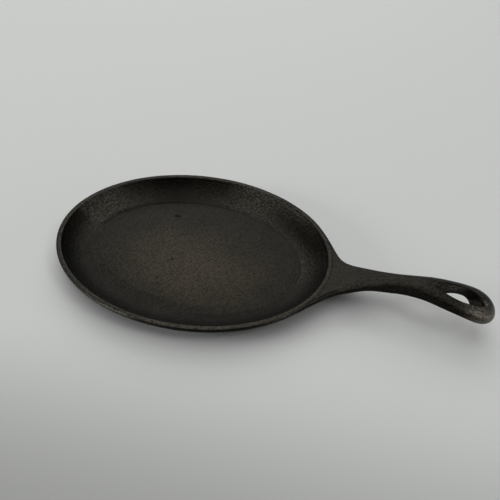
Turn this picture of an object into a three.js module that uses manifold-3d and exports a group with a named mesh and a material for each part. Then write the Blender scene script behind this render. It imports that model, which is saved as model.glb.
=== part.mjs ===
// Oval fajita skillet: a shallow oval dish with a flat-topped rim and one arched handle
// that ends in an eye to hang it by. The real thing is a single iron casting. Each node
// below is one region of that casting, and the regions meet face to face.
// Millimetres, +Z up, origin in the middle of the flat base, handle along +X.
import * as THREE from "three";
import { LoftGeometry } from "three/addons/geometries/LoftGeometry.js";
import { mergeGeometries, mergeVertices } from "three/addons/utils/BufferGeometryUtils.js";
import Module from "manifold-3d";

// Dish
const RIM_LENGTH = 254;
const RIM_WIDTH = 193;
const RIM_HEIGHT = 20.6;
const RIM_TOP_WIDTH = 4.3;
const RIM_DEPTH = 3.4;
const RIM_INNER_RUN = 2.6;
const RIM_EDGE = 1;
const FLOOR_INSET = 27.7;
const FLOOR_THICKNESS = 5.4;

// Where the wall's curves bend, as shares of the way inward and down
const INNER_BEND_INWARD = 0.44;
const INNER_BEND_DOWN = 0.88;
const OUTER_BEND_INWARD = 0.36;
const OUTER_BEND_DOWN = 0.66;

// Handle, with reaches counted from the end of the rim and the crown's heights from its top
const HANDLE_LENGTH = 128;
const ROOT_REACH = 23;
const ROOT_WIDTH = 26.1;
const ROOT_THICKNESS = 6.9;
const ROOT_CROWN = 5.2;
const NECK_REACH = 52.3;
const NECK_WIDTH = 16.9;
const CREST_REACH = 76;
const CREST_THICKNESS = 11.1;
const CREST_CROWN = 17.7;
const CREST_FLATNESS = 1.53;
const TIP_DROP = 9.6;
const TIP_FLATNESS = 1.46;

// The handle's section: the share of its thickness below its widest place, and its roundness,
// where 1 is an ellipse and 0 a box. Its flat top at the root grows round towards the crest
const ROOT_UNDER_SHARE = 0.5;
const CREST_UNDER_SHARE = 0.25;
const ROOT_ROUNDNESS = 0.5;
const CREST_ROUNDNESS = 0.85;
const UNDER_ROUNDNESS = 0.7;

// Hanging eye. The hole is measured level with the eye's top where it is widest. Its pointed
// and round ends close in downwards: each slope is the run per millimetre of depth
const EYE_WIDTH = 33.8;
const EYE_THICKNESS = 9.3;
const EYE_LEAD = 8;
const EYE_END_WALL = 7.9;
const EYE_HOLE_WIDTH = 15.6;
const EYE_HOLE_LENGTH = 39.8;
const EYE_HOLE_ROUND_END = 14;
const EYE_HOLE_POINT_SLOPE = 0.55;
const EYE_HOLE_END_SLOPE = 0.83;
const EYE_HOLE_OVERCUT = 5;

// How the flare between rim and handle is drawn out
const FLARE_PULL = 37;
const FLARE_SETTLE = 24;

// Steps around the oval, over the flare and along each stretch
const OVAL_STEPS = 90;
const FLARE_STEPS = 8;
const WALL_STEPS = 8;
const ROOT_STEPS = 8;
const SHANK_STEPS = 8;
const EYE_STEPS = 7;
const NOSE_STEPS = 7;
const HOLE_STEPS = 14;

// Places that follow from the sizes above
const RIM_END = RIM_LENGTH / 2;
const RIM_FOOT = RIM_HEIGHT - RIM_DEPTH;
const ROOT_END = RIM_END + ROOT_REACH;
const NECK = RIM_END + NECK_REACH;
const CREST = RIM_END + CREST_REACH;
const TIP = RIM_END + HANDLE_LENGTH;
const EYE_CENTRE = TIP - EYE_WIDTH / 2;
const HOLE_END = TIP - EYE_END_WALL;
const HOLE_POINT = HOLE_END - EYE_HOLE_LENGTH;
const EYE_START = HOLE_POINT - EYE_LEAD;
const STEP_ANGLE = (2 * Math.PI) / OVAL_STEPS;

const iron = new THREE.MeshStandardMaterial({
  name: "cast_iron",
  color: new THREE.Color(0.045, 0.042, 0.037),
  metalness: 0.55,
  roughness: 0.5,
});

// A point of the dish, given its step around the oval, its inset from the rim and its height
function ovalPoint(step, inset, height) {
  const angle = step * STEP_ANGLE;
  const x = (RIM_LENGTH / 2 - inset) * Math.cos(angle);
  const y = (RIM_WIDTH / 2 - inset) * Math.sin(angle);
  return new THREE.Vector3(x, y, height);
}

// The level direction straight out from the dish at the same kind of place
function ovalNormal(step, inset) {
  const angle = step * STEP_ANGLE;
  const x = (RIM_WIDTH / 2 - inset) * Math.cos(angle);
  const y = (RIM_LENGTH / 2 - inset) * Math.sin(angle);
  return new THREE.Vector3(x, y, 0).normalize();
}

// Hollow curve of the wall between two points of the dish's profile, each an inset and a height
function wallCurve(top, foot, inward, down) {
  const bend = new THREE.Vector2(
    THREE.MathUtils.lerp(top.x, foot.x, inward),
    THREE.MathUtils.lerp(top.y, foot.y, down),
  );
  return new THREE.QuadraticBezierCurve(top, bend, foot).getPoints(WALL_STEPS);
}

const innerWall = wallCurve(
  new THREE.Vector2(RIM_TOP_WIDTH + RIM_INNER_RUN, RIM_FOOT),
  new THREE.Vector2(FLOOR_INSET, FLOOR_THICKNESS),
  INNER_BEND_INWARD,
  INNER_BEND_DOWN,
);
const outerWall = wallCurve(
  new THREE.Vector2(0, RIM_FOOT),
  new THREE.Vector2(FLOOR_INSET, 0),
  OUTER_BEND_INWARD,
  OUTER_BEND_DOWN,
);
const outerRim = [
  new THREE.Vector2(RIM_EDGE, RIM_HEIGHT),
  new THREE.Vector2(0, RIM_HEIGHT - RIM_EDGE),
  new THREE.Vector2(0, RIM_FOOT),
];

// One closed mesh out of surfaces that meet along their edges
function closedGeometry(surfaces) {
  for (const surface of surfaces) {
    surface.deleteAttribute("normal");
    surface.deleteAttribute("uv");
  }
  return mergeVertices(mergeGeometries(surfaces), 0.0005);
}

// A ring that carries a closed profile around the oval
function ovalRing(profile) {
  const sections = [];
  for (let step = 0; step <= OVAL_STEPS; step += 1) {
    const turn = step % OVAL_STEPS;
    sections.push(profile.map((point) => ovalPoint(turn, point.x, point.y)));
  }
  return closedGeometry([new LoftGeometry(sections)]);
}

function floorGeometry() {
  const outline = new THREE.Shape();
  for (let step = 0; step < OVAL_STEPS; step += 1) {
    const point = ovalPoint(step, FLOOR_INSET, 0);
    if (step === 0) {
      outline.moveTo(point.x, point.y);
    } else {
      outline.lineTo(point.x, point.y);
    }
  }
  outline.closePath();
  const plate = new THREE.ExtrudeGeometry(outline, { depth: FLOOR_THICKNESS, bevelEnabled: false });
  return closedGeometry([plate]);
}

function wallGeometry() {
  return ovalRing([...innerWall.slice().reverse(), ...outerWall]);
}

function rimGeometry() {
  const innerFoot = innerWall[0];
  const innerTop = new THREE.Vector2(RIM_TOP_WIDTH, RIM_HEIGHT);
  return ovalRing([innerFoot, innerTop, ...outerRim]);
}

// Half the handle's width at a place along it, from the root's end to the tip
function halfWidth(x) {
  if (x <= NECK) {
    const left = (NECK - x) / (NECK - ROOT_END);
    return NECK_WIDTH / 2 + (ROOT_WIDTH / 2 - NECK_WIDTH / 2) * left * left;
  }
  if (x <= EYE_CENTRE) {
    const swell = THREE.MathUtils.smoothstep(x, NECK, EYE_CENTRE);
    return THREE.MathUtils.lerp(NECK_WIDTH / 2, EYE_WIDTH / 2, swell);
  }
  const past = x - EYE_CENTRE;
  return Math.sqrt(Math.max(0, (EYE_WIDTH / 2) ** 2 - past * past));
}

// The handle's thickness: it grows to the neck, holds to the crest and shrinks again to the eye
function thickness(x) {
  if (x <= CREST) {
    const growth = THREE.MathUtils.smoothstep(x, ROOT_END, NECK);
    return THREE.MathUtils.lerp(ROOT_THICKNESS, CREST_THICKNESS, growth);
  }
  const loss = THREE.MathUtils.smoothstep(x, CREST, EYE_CENTRE);
  return THREE.MathUtils.lerp(CREST_THICKNESS, EYE_THICKNESS, loss);
}

// Height of the handle's crown line: up to the crest, then down to the tip
function crownHeight(x) {
  if (x <= CREST) {
    const before = (CREST - x) / (CREST - ROOT_END);
    return RIM_HEIGHT + CREST_CROWN - (CREST_CROWN - ROOT_CROWN) * before ** CREST_FLATNESS;
  }
  const beyond = (x - CREST) / (TIP - CREST);
  return RIM_HEIGHT + CREST_CROWN - TIP_DROP * beyond ** TIP_FLATNESS;
}

// A point of the handle's section, given the angle around it: a domed top over a flatter
// underside, which both close to a rounded nose at the tip
function sectionPoint(x, angle) {
  const settled = THREE.MathUtils.smoothstep(x, ROOT_END, CREST);
  const under = thickness(x) * THREE.MathUtils.lerp(ROOT_UNDER_SHARE, CREST_UNDER_SHARE, settled);
  const dome = thickness(x) - under;
  const domeRoundness = THREE.MathUtils.lerp(ROOT_ROUNDNESS, CREST_ROUNDNESS, settled);
  const past = Math.max(0, x - EYE_CENTRE) / (EYE_WIDTH / 2);
  const nose = Math.sqrt(Math.max(0, 1 - past ** 4));
  const across = Math.cos(angle);
  const upward = Math.sin(angle);
  const roundness = upward > 0 ? domeRoundness : UNDER_ROUNDNESS;
  const reach = (upward > 0 ? dome : -under) * nose;
  const y = halfWidth(x) * Math.sign(across) * Math.abs(across) ** roundness;
  const z = crownHeight(x) - dome + reach * Math.abs(upward) ** roundness;
  return new THREE.Vector3(x, y, z);
}

const SIDE_STEPS = outerRim.length - 1;

// Places around the root's edge: along the top, down one side, back below and up the other side
function edgePlaces() {
  const places = [];
  for (let step = FLARE_STEPS; step >= -FLARE_STEPS; step -= 1) {
    places.push({ step, level: 0 });
  }
  for (let level = 1; level < SIDE_STEPS; level += 1) {
    places.push({ step: -FLARE_STEPS, level });
  }
  for (let step = -FLARE_STEPS; step <= FLARE_STEPS; step += 1) {
    places.push({ step, level: SIDE_STEPS });
  }
  for (let level = SIDE_STEPS - 1; level > 0; level -= 1) {
    places.push({ step: FLARE_STEPS, level });
  }
  return places;
}

// Angle around the handle's section that a place on the root's edge runs out to
function placeAngle({ step, level }) {
  const corner = Math.PI / 5.5;
  const across = step / FLARE_STEPS;
  if (level === 0) {
    return Math.PI / 2 - across * (Math.PI / 2 - corner);
  }
  if (level === SIDE_STEPS) {
    return -Math.PI / 2 + across * (Math.PI / 2 - corner);
  }
  const side = THREE.MathUtils.lerp(corner, -corner, level / SIDE_STEPS);
  return across > 0 ? side : Math.PI - side;
}

const places = edgePlaces();

function handleSection(x) {
  return places.map((place) => sectionPoint(x, placeAngle(place)));
}

// The curve from one place on the rim's outside to the same place on the handle's first section.
// It leaves the rim level, straight out in the middle of the flare and along the rim at its sides
function flareCurve(place) {
  const angle = placeAngle(place);
  const profile = outerRim[place.level];
  const start = ovalPoint(place.step, profile.x, profile.y);
  const end = sectionPoint(ROOT_END, angle);
  const edge = (Math.abs(place.step) / FLARE_STEPS) ** 3;
  const third = (end.x - start.x) / 3;

  const outward = ovalNormal(place.step, profile.x);
  const side = Math.sign(place.step);
  const along = new THREE.Vector3(side * outward.y, -side * outward.x, 0).multiplyScalar(FLARE_PULL);
  const leave = new THREE.Vector3(third, (end.y - start.y) / 3, 0).lerp(along, edge);

  const drift = sectionPoint(ROOT_END + 1, angle).sub(end);
  const settle = drift.multiplyScalar(THREE.MathUtils.lerp(third, FLARE_SETTLE, edge));
  return new THREE.CubicBezierCurve3(start, start.clone().add(leave), end.clone().sub(settle), end);
}

// The flared root: its skin, a flat outer end, and an inner face that copies the rim's outside
function rootGeometry() {
  const curves = places.map((place) => flareCurve(place));
  const sections = [];
  for (let station = 0; station <= ROOT_STEPS; station += 1) {
    sections.push(curves.map((curve) => curve.getPoint(station / ROOT_STEPS)));
  }
  const skin = new LoftGeometry(sections, { capEnd: true });
  const across = Array.from({ length: 2 * FLARE_STEPS + 1 }, (_, index) => index - FLARE_STEPS);
  const strips = outerRim.map((point) => across.map((step) => ovalPoint(step, point.x, point.y)));
  const seat = new LoftGeometry(strips, { closed: false });
  return closedGeometry([skin, seat]);
}

// A stretch of the handle between flat ends, through sections at the given places
function handleStretch(stations) {
  const sections = stations.map((x) => handleSection(x));
  return closedGeometry([new LoftGeometry(sections, { capStart: true, capEnd: true })]);
}

function shankGeometry() {
  const stations = [];
  for (let station = 0; station <= SHANK_STEPS; station += 1) {
    stations.push(THREE.MathUtils.lerp(ROOT_END, EYE_START, station / SHANK_STEPS));
  }
  return handleStretch(stations);
}

// Outline of the hole at a depth below the eye's top face: a point towards the dish, full
// sides and a round end
function holeOutline(depth, height) {
  const half = EYE_HOLE_WIDTH / 2;
  const point = HOLE_POINT + EYE_HOLE_POINT_SLOPE * depth;
  const end = HOLE_END - EYE_HOLE_END_SLOPE * depth;
  const share = EYE_HOLE_ROUND_END / EYE_HOLE_LENGTH;
  const widest = THREE.MathUtils.lerp(end, point, share);
  const fullness = THREE.MathUtils.lerp(point, widest, 0.47);
  const outline = new THREE.Shape();
  outline.moveTo(point, 0);
  outline.quadraticCurveTo(fullness, -half, widest, -half);
  outline.absellipse(widest, 0, end - widest, half, -Math.PI / 2, Math.PI / 2, false);
  outline.quadraticCurveTo(fullness, half, point, 0);
  const points = outline.getPoints(HOLE_STEPS).slice(0, -1);
  return points.map((place) => new THREE.Vector3(place.x, place.y, height));
}

// The tapered core that leaves the hole
function holeCore() {
  const face = crownHeight(HOLE_END - EYE_HOLE_ROUND_END);
  const deep = EYE_THICKNESS + EYE_HOLE_OVERCUT;
  const low = holeOutline(deep, face - deep);
  const high = holeOutline(-EYE_HOLE_OVERCUT, face + EYE_HOLE_OVERCUT);
  return closedGeometry([new LoftGeometry([low, high], { capStart: true, capEnd: true })]);
}

function toManifold(wasm, geometry) {
  const position = geometry.getAttribute("position");
  return new wasm.Manifold(new wasm.Mesh({
    numProp: 3,
    vertProperties: new Float32Array(position.array),
    triVerts: new Uint32Array(geometry.index.array),
  }));
}

function fromManifold(solid) {
  const mesh = solid.getMesh();
  const geometry = new THREE.BufferGeometry();
  geometry.setAttribute("position", new THREE.BufferAttribute(mesh.vertProperties, 3));
  geometry.setIndex(new THREE.BufferAttribute(mesh.triVerts, 1));
  return geometry;
}

function eyeGeometry(wasm) {
  const stations = [];
  for (let station = 0; station < EYE_STEPS; station += 1) {
    stations.push(THREE.MathUtils.lerp(EYE_START, EYE_CENTRE, station / EYE_STEPS));
  }
  for (let station = 0; station <= NOSE_STEPS; station += 1) {
    const turn = (station / NOSE_STEPS) * THREE.MathUtils.degToRad(85);
    stations.push(EYE_CENTRE + (EYE_WIDTH / 2) * Math.sin(turn));
  }
  const blank = toManifold(wasm, handleStretch(stations));
  return fromManifold(blank.subtract(toManifold(wasm, holeCore())));
}

const wasm = await Module();
wasm.setup();

const regions = {
  dish_floor: floorGeometry(),
  dish_wall: wallGeometry(),
  dish_rim: rimGeometry(),
  handle_root: rootGeometry(),
  handle_shank: shankGeometry(),
  handle_eye: eyeGeometry(wasm),
};

const skillet = new THREE.Group();
skillet.name = "fajita_skillet";
for (const [name, geometry] of Object.entries(regions)) {
  geometry.computeVertexNormals();
  const mesh = new THREE.Mesh(geometry, iron);
  mesh.name = name;
  skillet.add(mesh);
}

export default skillet;
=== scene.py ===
"""Fajita skillet: an oval cast iron dish with an arched handle and a hanging eye.

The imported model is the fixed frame. The skillet is one casting, so its six regions are built
as one continuous skin, worked by numpy in whole arrays, and then parted where the frame's
nodes meet. All lengths are in metres.
"""

from __future__ import annotations

import logging
import math
from dataclasses import dataclass, field
from enum import Enum

import bpy
import numpy as np
from mathutils import Matrix, Vector


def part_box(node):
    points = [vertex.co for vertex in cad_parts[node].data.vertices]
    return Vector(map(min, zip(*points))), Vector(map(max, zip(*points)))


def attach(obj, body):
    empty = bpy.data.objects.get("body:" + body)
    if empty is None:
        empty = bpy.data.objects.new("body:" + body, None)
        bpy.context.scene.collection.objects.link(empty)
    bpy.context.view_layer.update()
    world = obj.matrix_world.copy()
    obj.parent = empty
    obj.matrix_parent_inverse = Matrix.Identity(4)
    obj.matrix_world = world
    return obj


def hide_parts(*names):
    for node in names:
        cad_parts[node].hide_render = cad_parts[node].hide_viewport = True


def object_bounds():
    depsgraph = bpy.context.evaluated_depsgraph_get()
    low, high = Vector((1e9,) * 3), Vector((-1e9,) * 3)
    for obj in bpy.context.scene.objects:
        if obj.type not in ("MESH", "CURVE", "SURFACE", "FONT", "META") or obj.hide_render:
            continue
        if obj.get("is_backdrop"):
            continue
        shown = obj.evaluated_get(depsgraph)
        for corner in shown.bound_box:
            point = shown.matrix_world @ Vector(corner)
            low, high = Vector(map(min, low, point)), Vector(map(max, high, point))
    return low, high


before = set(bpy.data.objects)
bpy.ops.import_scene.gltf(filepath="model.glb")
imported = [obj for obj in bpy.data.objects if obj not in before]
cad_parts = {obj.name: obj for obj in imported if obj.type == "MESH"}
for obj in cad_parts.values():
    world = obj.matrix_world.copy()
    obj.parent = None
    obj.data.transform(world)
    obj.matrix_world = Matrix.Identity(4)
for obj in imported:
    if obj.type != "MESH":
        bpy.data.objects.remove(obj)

Array = np.ndarray
Pair = tuple[float, float]
Place = tuple[float, float, float]
Colour = tuple[float, float, float, float]

LOG = logging.getLogger("skillet")
MM = 0.001
WELD = 1e-7
CURVE_POINTS = 200
HASH_PRIMES = (73856093, 19349663, 83492791)
HASH_SEED = 1013
HASH_MIX = 1274126177
HASH_SHIFTS = (13, 16)
HASH_TOP = 0xFFFF


class Region(Enum):
    """The regions of the casting, each with the name of the node that it stands for."""

    FLOOR = "dish_floor"
    WALL = "dish_wall"
    RIM = "dish_rim"
    ROOT = "handle_root"
    SHANK = "handle_shank"
    EYE = "handle_eye"


class Mark(Enum):
    """What the surface carries at a point, each kept as a number from 0 up."""

    # Abrasion, and also painted highlights and glints.
    WEAR_AND_HIGHLIGHT = "wear_and_highlight"
    # Grime, and also painted shade and painted dark reflections.
    SOOT_AND_SHADE = "soot_and_shade"
    GRAIN = "grain"
    BAKED = "baked"


class Slot(Enum):
    """The material slots of the record."""

    IRON = "cast_iron"


def lerp(start: Array | float, end: Array | float, share: Array | float) -> Array | float:
    """Mix two values: start where share is 0, end where it is 1."""
    return start + (end - start) * share


def smoothstep(value: Array | float, low: float, high: float) -> Array:
    """Rise from 0 at low to 1 at high by 3t^2 - 2t^3."""
    share = np.clip((np.asarray(value, float) - low) / (high - low), 0.0, 1.0)
    return share * share * (3.0 - 2.0 * share)


def bell(away: Array) -> Array:
    """A bell curve, exp(-x^2 / 2), over the distance from its middle counted in reaches."""
    return np.exp(-0.5 * away**2)


def bezier(points: list[Pair], share: Array) -> Array:
    """Walk a quadratic Bezier curve.

    Args:
        points: The start, the control point and the end.
        share: How far along, from 0 to 1.

    Returns:
        One point a row, by (1-t)^2 a + 2t(1-t) b + t^2 c.
    """
    start, bend, end = (np.array(point) for point in points)
    along = share[:, None]
    return (1 - along) ** 2 * start + 2 * along * (1 - along) * bend + along**2 * end


def by_length(path: Array, share: Array) -> Array:
    """Pick points of a path by the share of its length.

    Args:
        path: One point a row.
        share: Shares from 0 to 1.

    Returns:
        One point for each share, straight between the path's own points.
    """
    steps = np.linalg.norm(np.diff(path, axis=0), axis=1)
    length = np.concatenate([[0.0], np.cumsum(steps)])
    spots = np.asarray(share) * length[-1]
    return np.stack([np.interp(spots, length, path[:, axis]) for axis in range(path.shape[1])], -1)


def lattice_noise(points: Array, cell: float, seed: int) -> Array:
    """Smooth noise from 0 to 1 at points in space.

    Each corner of a cubic lattice has a hashed value, and the eight around a point are mixed
    by smoothstep shares along each axis.

    Args:
        points: One point a row.
        cell: The lattice's spacing.
        seed: A whole number that picks the pattern.

    Returns:
        One value a point.
    """
    spots = points / cell
    low = np.floor(spots).astype(np.int64)
    share = smoothstep(spots - low, 0.0, 1.0)
    total = np.zeros(len(points))
    for corner in np.ndindex(2, 2, 2):
        key = (low + np.array(corner)) * np.array(HASH_PRIMES)
        mixed = key[:, 0] ^ key[:, 1] ^ key[:, 2] ^ seed * HASH_SEED
        mixed = (mixed ^ (mixed >> HASH_SHIFTS[0])) * HASH_MIX
        value = ((mixed ^ (mixed >> HASH_SHIFTS[1])) & HASH_TOP) / HASH_TOP
        total += value * np.prod(np.where(np.array(corner) == 1, share, 1.0 - share), axis=1)
    return total


@dataclass(frozen=True)
class DishSize:
    """The oval dish's sizes.

    Attributes:
        semi_length: Half the rim's length.
        semi_width: Half the rim's width.
        height: The rim's top above the base.
        rim_foot: The height where the rim meets the wall.
        floor_inset: How far the floor's edge lies inside the rim's outside.
        floor_thickness: The floor's thickness.
        rim_top: The rim's flat top, from its outside.
        rim_run: How far the rim's inner face slopes in.
        seat_top: Where the handle's root starts on the rim's top, from its outside.
        inner_bend: Place of the inner wall's control point, as shares of its run and drop.
        outer_bend: The same for the outer wall.
        edge_softness: The reach of the rounding of every edge of the profile.
        crease_softness: The reach of the rounding where the floor turns up into the wall.
        crease_reach: How far along the profile that wider rounding holds.
        margin: The width of the floor's outer band.
    """

    semi_length: float
    semi_width: float
    height: float
    rim_foot: float
    floor_inset: float
    floor_thickness: float
    rim_top: float = 4.3 * MM
    rim_run: float = 2.6 * MM
    seat_top: float = 2.1 * MM
    inner_bend: Pair = (0.44, 0.88)
    outer_bend: Pair = (0.36, 0.66)
    edge_softness: float = 0.7 * MM
    crease_softness: float = 0.9 * MM
    crease_reach: float = 5.0 * MM
    margin: float = 9.0 * MM

    @classmethod
    def from_frame(cls) -> DishSize:
        """Read the dish's sizes from the frame's nodes.

        Returns:
            The dish's sizes.
        """
        rim_low, rim_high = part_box(Region.RIM.value)
        _, floor_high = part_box(Region.FLOOR.value)
        return cls(
            semi_length=rim_high.x,
            semi_width=rim_high.y,
            height=rim_high.z,
            rim_foot=rim_low.z,
            floor_inset=rim_high.x - floor_high.x,
            floor_thickness=floor_high.z,
        )


@dataclass(frozen=True)
class HoleLevel:
    """The hanging hole's outline at one level.

    Attributes:
        point: The pointed end, towards the dish.
        end: The round end, towards the tip.
        half: Half the width.
        round_share: The round end's share of the length.
        fullness: Place of the side curve's control point.
    """

    point: float
    end: float
    half: float
    round_share: float = 0.38
    fullness: float = 0.47

    def outline(self, share: Array) -> Array:
        """Walk half the outline, from the point round to the end.

        The side is a quadratic curve and the end a quarter of an ellipse.

        Args:
            share: Shares of its length.

        Returns:
            Points in plan.
        """
        widest = lerp(self.end, self.point, self.round_share)
        control = lerp(self.point, widest, self.fullness)
        steps = np.linspace(0.0, 1.0, CURVE_POINTS)
        side = bezier([(self.point, 0.0), (control, self.half), (widest, self.half)], steps)
        turn = steps[1:] * math.pi / 2
        around = np.stack([widest + (self.end - widest) * np.sin(turn), self.half * np.cos(turn)], -1)
        around[-1, 1] = 0.0
        return by_length(np.concatenate([side, around]), share)


@dataclass(frozen=True)
class HandleSize:
    """The handle's sizes, with x measured from the dish's middle.

    Attributes:
        root_end: Where the flared root ends.
        eye_start: Where the eye's region starts.
        tip: The far end.
        eye_half: Half the eye's width.
        rim_height: The rim's top above the base.
        neck: The narrowest place.
        crest: The highest place.
        root_half: Half the width at the root's end.
        neck_half: Half the width at the neck.
        root_thickness: The thickness at the root's end.
        crest_thickness: The thickness at the crest.
        eye_thickness: The thickness where the eye is widest.
        root_crown: The top line's height above the rim at the root's end.
        crest_crown: The top line's height above the rim at the crest.
        tip_drop: How far the top line falls from the crest to the tip.
        crest_flatness: The power of the climb to the crest.
        tip_flatness: The power of the fall to the tip.
        root_under: The share of the thickness below the widest level at the root's end.
        crest_under: The same from the crest on.
        root_roundness: The top's power at the root's end; 1 is an ellipse, 0 a box.
        crest_roundness: The same from the crest on.
        under_roundness: The underside's power.
        flare_pull: How far the flare's sides run along the rim.
        flare_settle: How far the flare's sides run along the shank.
        hole_top: The hole's outline in the handle's top.
        hole_foot: The hole's outline in the handle's underside.
    """

    root_end: float
    eye_start: float
    tip: float
    eye_half: float
    rim_height: float
    neck: float = 179.3 * MM
    crest: float = 203.0 * MM
    root_half: float = 13.05 * MM
    neck_half: float = 8.45 * MM
    root_thickness: float = 6.9 * MM
    crest_thickness: float = 11.5 * MM
    eye_thickness: float = 9.6 * MM
    root_crown: float = 5.2 * MM
    crest_crown: float = 17.7 * MM
    tip_drop: float = 9.6 * MM
    crest_flatness: float = 1.53
    tip_flatness: float = 1.46
    root_under: float = 0.5
    crest_under: float = 0.278
    root_roundness: float = 0.5
    crest_roundness: float = 0.85
    under_roundness: float = 0.55
    flare_pull: float = 37.0 * MM
    flare_settle: float = 24.0 * MM
    hole_top: HoleLevel = HoleLevel(205.3 * MM, 244.4 * MM, 7.6 * MM)
    hole_foot: HoleLevel = HoleLevel(212.0 * MM, 235.4 * MM, 7.6 * MM, round_share=0.3)

    @classmethod
    def from_frame(cls, dish: DishSize) -> HandleSize:
        """Read the handle's sizes from the frame's nodes.

        Args:
            dish: The dish's sizes.

        Returns:
            The handle's sizes.
        """
        root, shank, eye = (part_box(region.value)[1] for region in (Region.ROOT, Region.SHANK, Region.EYE))
        return cls(root_end=root.x, eye_start=shank.x, tip=eye.x, eye_half=eye.y, rim_height=dish.height)

    @property
    def eye_centre(self) -> float:
        """The centre of the tip's round end."""
        return self.tip - self.eye_half

    def half_width(self, x: Array) -> Array:
        """Half the width along the handle.

        It narrows to the neck by a square, swells to the eye by smoothstep and closes at the
        tip as a circle.

        Args:
            x: Places along the handle.

        Returns:
            Half the width at each place.
        """
        left = (self.neck - x) / (self.neck - self.root_end)
        narrowing = self.neck_half + (self.root_half - self.neck_half) * left**2
        swell = smoothstep(x, self.neck, self.eye_centre)
        swelling = lerp(self.neck_half, self.eye_half, swell)
        closing = np.sqrt(np.maximum(0.0, self.eye_half**2 - (x - self.eye_centre) ** 2))
        return np.where(x <= self.neck, narrowing, np.where(x <= self.eye_centre, swelling, closing))

    def outline(self, share: Array) -> Array:
        """Walk half the eye's outline, from beside the hole's point round to the tip.

        The flank follows half the width, and the nose is a quarter circle.

        Args:
            share: Shares of its length.

        Returns:
            Points in plan.
        """
        middle = np.linspace(self.hole_top.point, self.eye_centre, CURVE_POINTS)
        flank = np.stack([middle, self.half_width(middle)], -1)
        sweep = np.linspace(0.0, math.pi / 2, CURVE_POINTS)[1:]
        nose = np.stack([np.sin(sweep), np.cos(sweep)], -1) * self.eye_half
        nose[:, 0] += self.eye_centre
        nose[-1, 1] = 0.0
        return by_length(np.concatenate([flank, nose]), share)

    def crown(self, x: Array) -> Array:
        """Height of the top line: up to the crest and down to the tip, each by a power.

        Args:
            x: Places along the handle.

        Returns:
            The height at each place.
        """
        top = self.rim_height + self.crest_crown
        before = np.maximum(0.0, self.crest - x) / (self.crest - self.root_end)
        beyond = np.maximum(0.0, x - self.crest) / (self.tip - self.crest)
        climb = (self.crest_crown - self.root_crown) * before**self.crest_flatness
        return top - climb - self.tip_drop * beyond**self.tip_flatness

    def settled(self, x: Array) -> Array:
        """How far the section has turned from the root's flat one into the crest's domed one."""
        return smoothstep(x, self.root_end, self.crest)

    def halves(self, x: Array) -> tuple[Array, Array]:
        """The thickness above and below the widest level.

        Args:
            x: Places along the handle.

        Returns:
            The dome's height and the underside's depth at each place.
        """
        growth = smoothstep(x, self.root_end, self.neck)
        grown = lerp(self.root_thickness, self.crest_thickness, growth)
        loss = smoothstep(x, self.crest, self.eye_centre)
        thinned = lerp(self.crest_thickness, self.eye_thickness, loss)
        thickness = np.where(x <= self.crest, grown, thinned)
        under = thickness * lerp(self.root_under, self.crest_under, self.settled(x))
        return thickness - under, under

    def level(self, x: Array) -> Array:
        """Height of the widest level along the handle."""
        return self.crown(x) - self.halves(x)[0]

    def roundness(self, x: Array, above: Array) -> Array:
        """The section's power along the handle, above or below the widest level."""
        dome = lerp(self.root_roundness, self.crest_roundness, self.settled(x))
        return np.where(above, dome, self.under_roundness)

    def section(self, x: Array | float, angle: Array) -> Array:
        """Points of the handle's section, a domed top over a flatter underside.

        Across is |cos|^r of half the width, and up or down from the widest level is |sin|^r of
        the dome's height or the underside's depth.

        Args:
            x: Places along the handle.
            angle: Angles around the section, broadcast together with the places.

        Returns:
            The points.
        """
        x, angle = np.broadcast_arrays(x, angle)
        above = np.sin(angle) > 0
        power = self.roundness(x, above)
        dome, under = self.halves(x)
        across = self.half_width(x) * np.abs(np.cos(angle)) ** power
        upward = np.where(above, dome, -under) * np.abs(np.sin(angle)) ** power
        return np.stack([x, across, self.level(x) + upward], -1)

    def height(self, plan: Array, above: Array) -> Array:
        """Height of the handle's skin over places in plan.

        With s the share of half the width, it is (1 - s^(2/r))^(r/2) of the dome's height or
        the underside's depth from the widest level, and both close to a rounded nose at the
        tip by the square root of 1 - p^4, with p the share of the way through the nose.

        Args:
            plan: Places in plan.
            above: True where the top is asked for, and not the underside.

        Returns:
            The heights.
        """
        x, y = plan[..., 0], plan[..., 1]
        power = self.roundness(x, above)
        share = np.clip(np.abs(y) / np.maximum(self.half_width(x), WELD), 0.0, 1.0)
        past = np.clip((x - self.eye_centre) / self.eye_half, 0.0, 1.0)
        dome, under = self.halves(x)
        full = (1.0 - share ** (2 / power)) ** (power / 2) * np.sqrt(1.0 - past**4)
        return self.level(x) + np.where(above, dome, -under) * full


@dataclass
class Patch:
    """A grid of points on the casting.

    Attributes:
        points: Rows by columns by 3. Rows crossed with columns point out of the iron.
        shown: Whether each of the grid's cells is on the outside.
        marks: Values of the surface's marks, of a shape that is broadcast to the grid's.
        flip: True where rows crossed with columns point into the iron.
    """

    points: Array
    shown: Array | bool = True
    marks: dict[Mark, Array] = field(default_factory=dict)
    flip: bool = False

    def mirrored(self) -> Patch:
        """The patch on the other side of the handle's middle plane."""
        return Patch(self.points * np.array([1.0, -1.0, 1.0]), self.shown, self.marks, not self.flip)


@dataclass(frozen=True)
class Pit:
    """A small pit in the dish's floor.

    Attributes:
        x: Its place along the dish.
        y: Its place across the dish.
        half_x: Half its length.
        half_y: Half its width.
        depth: Its depth.
    """

    x: float
    y: float
    half_x: float
    half_y: float
    depth: float


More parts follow.
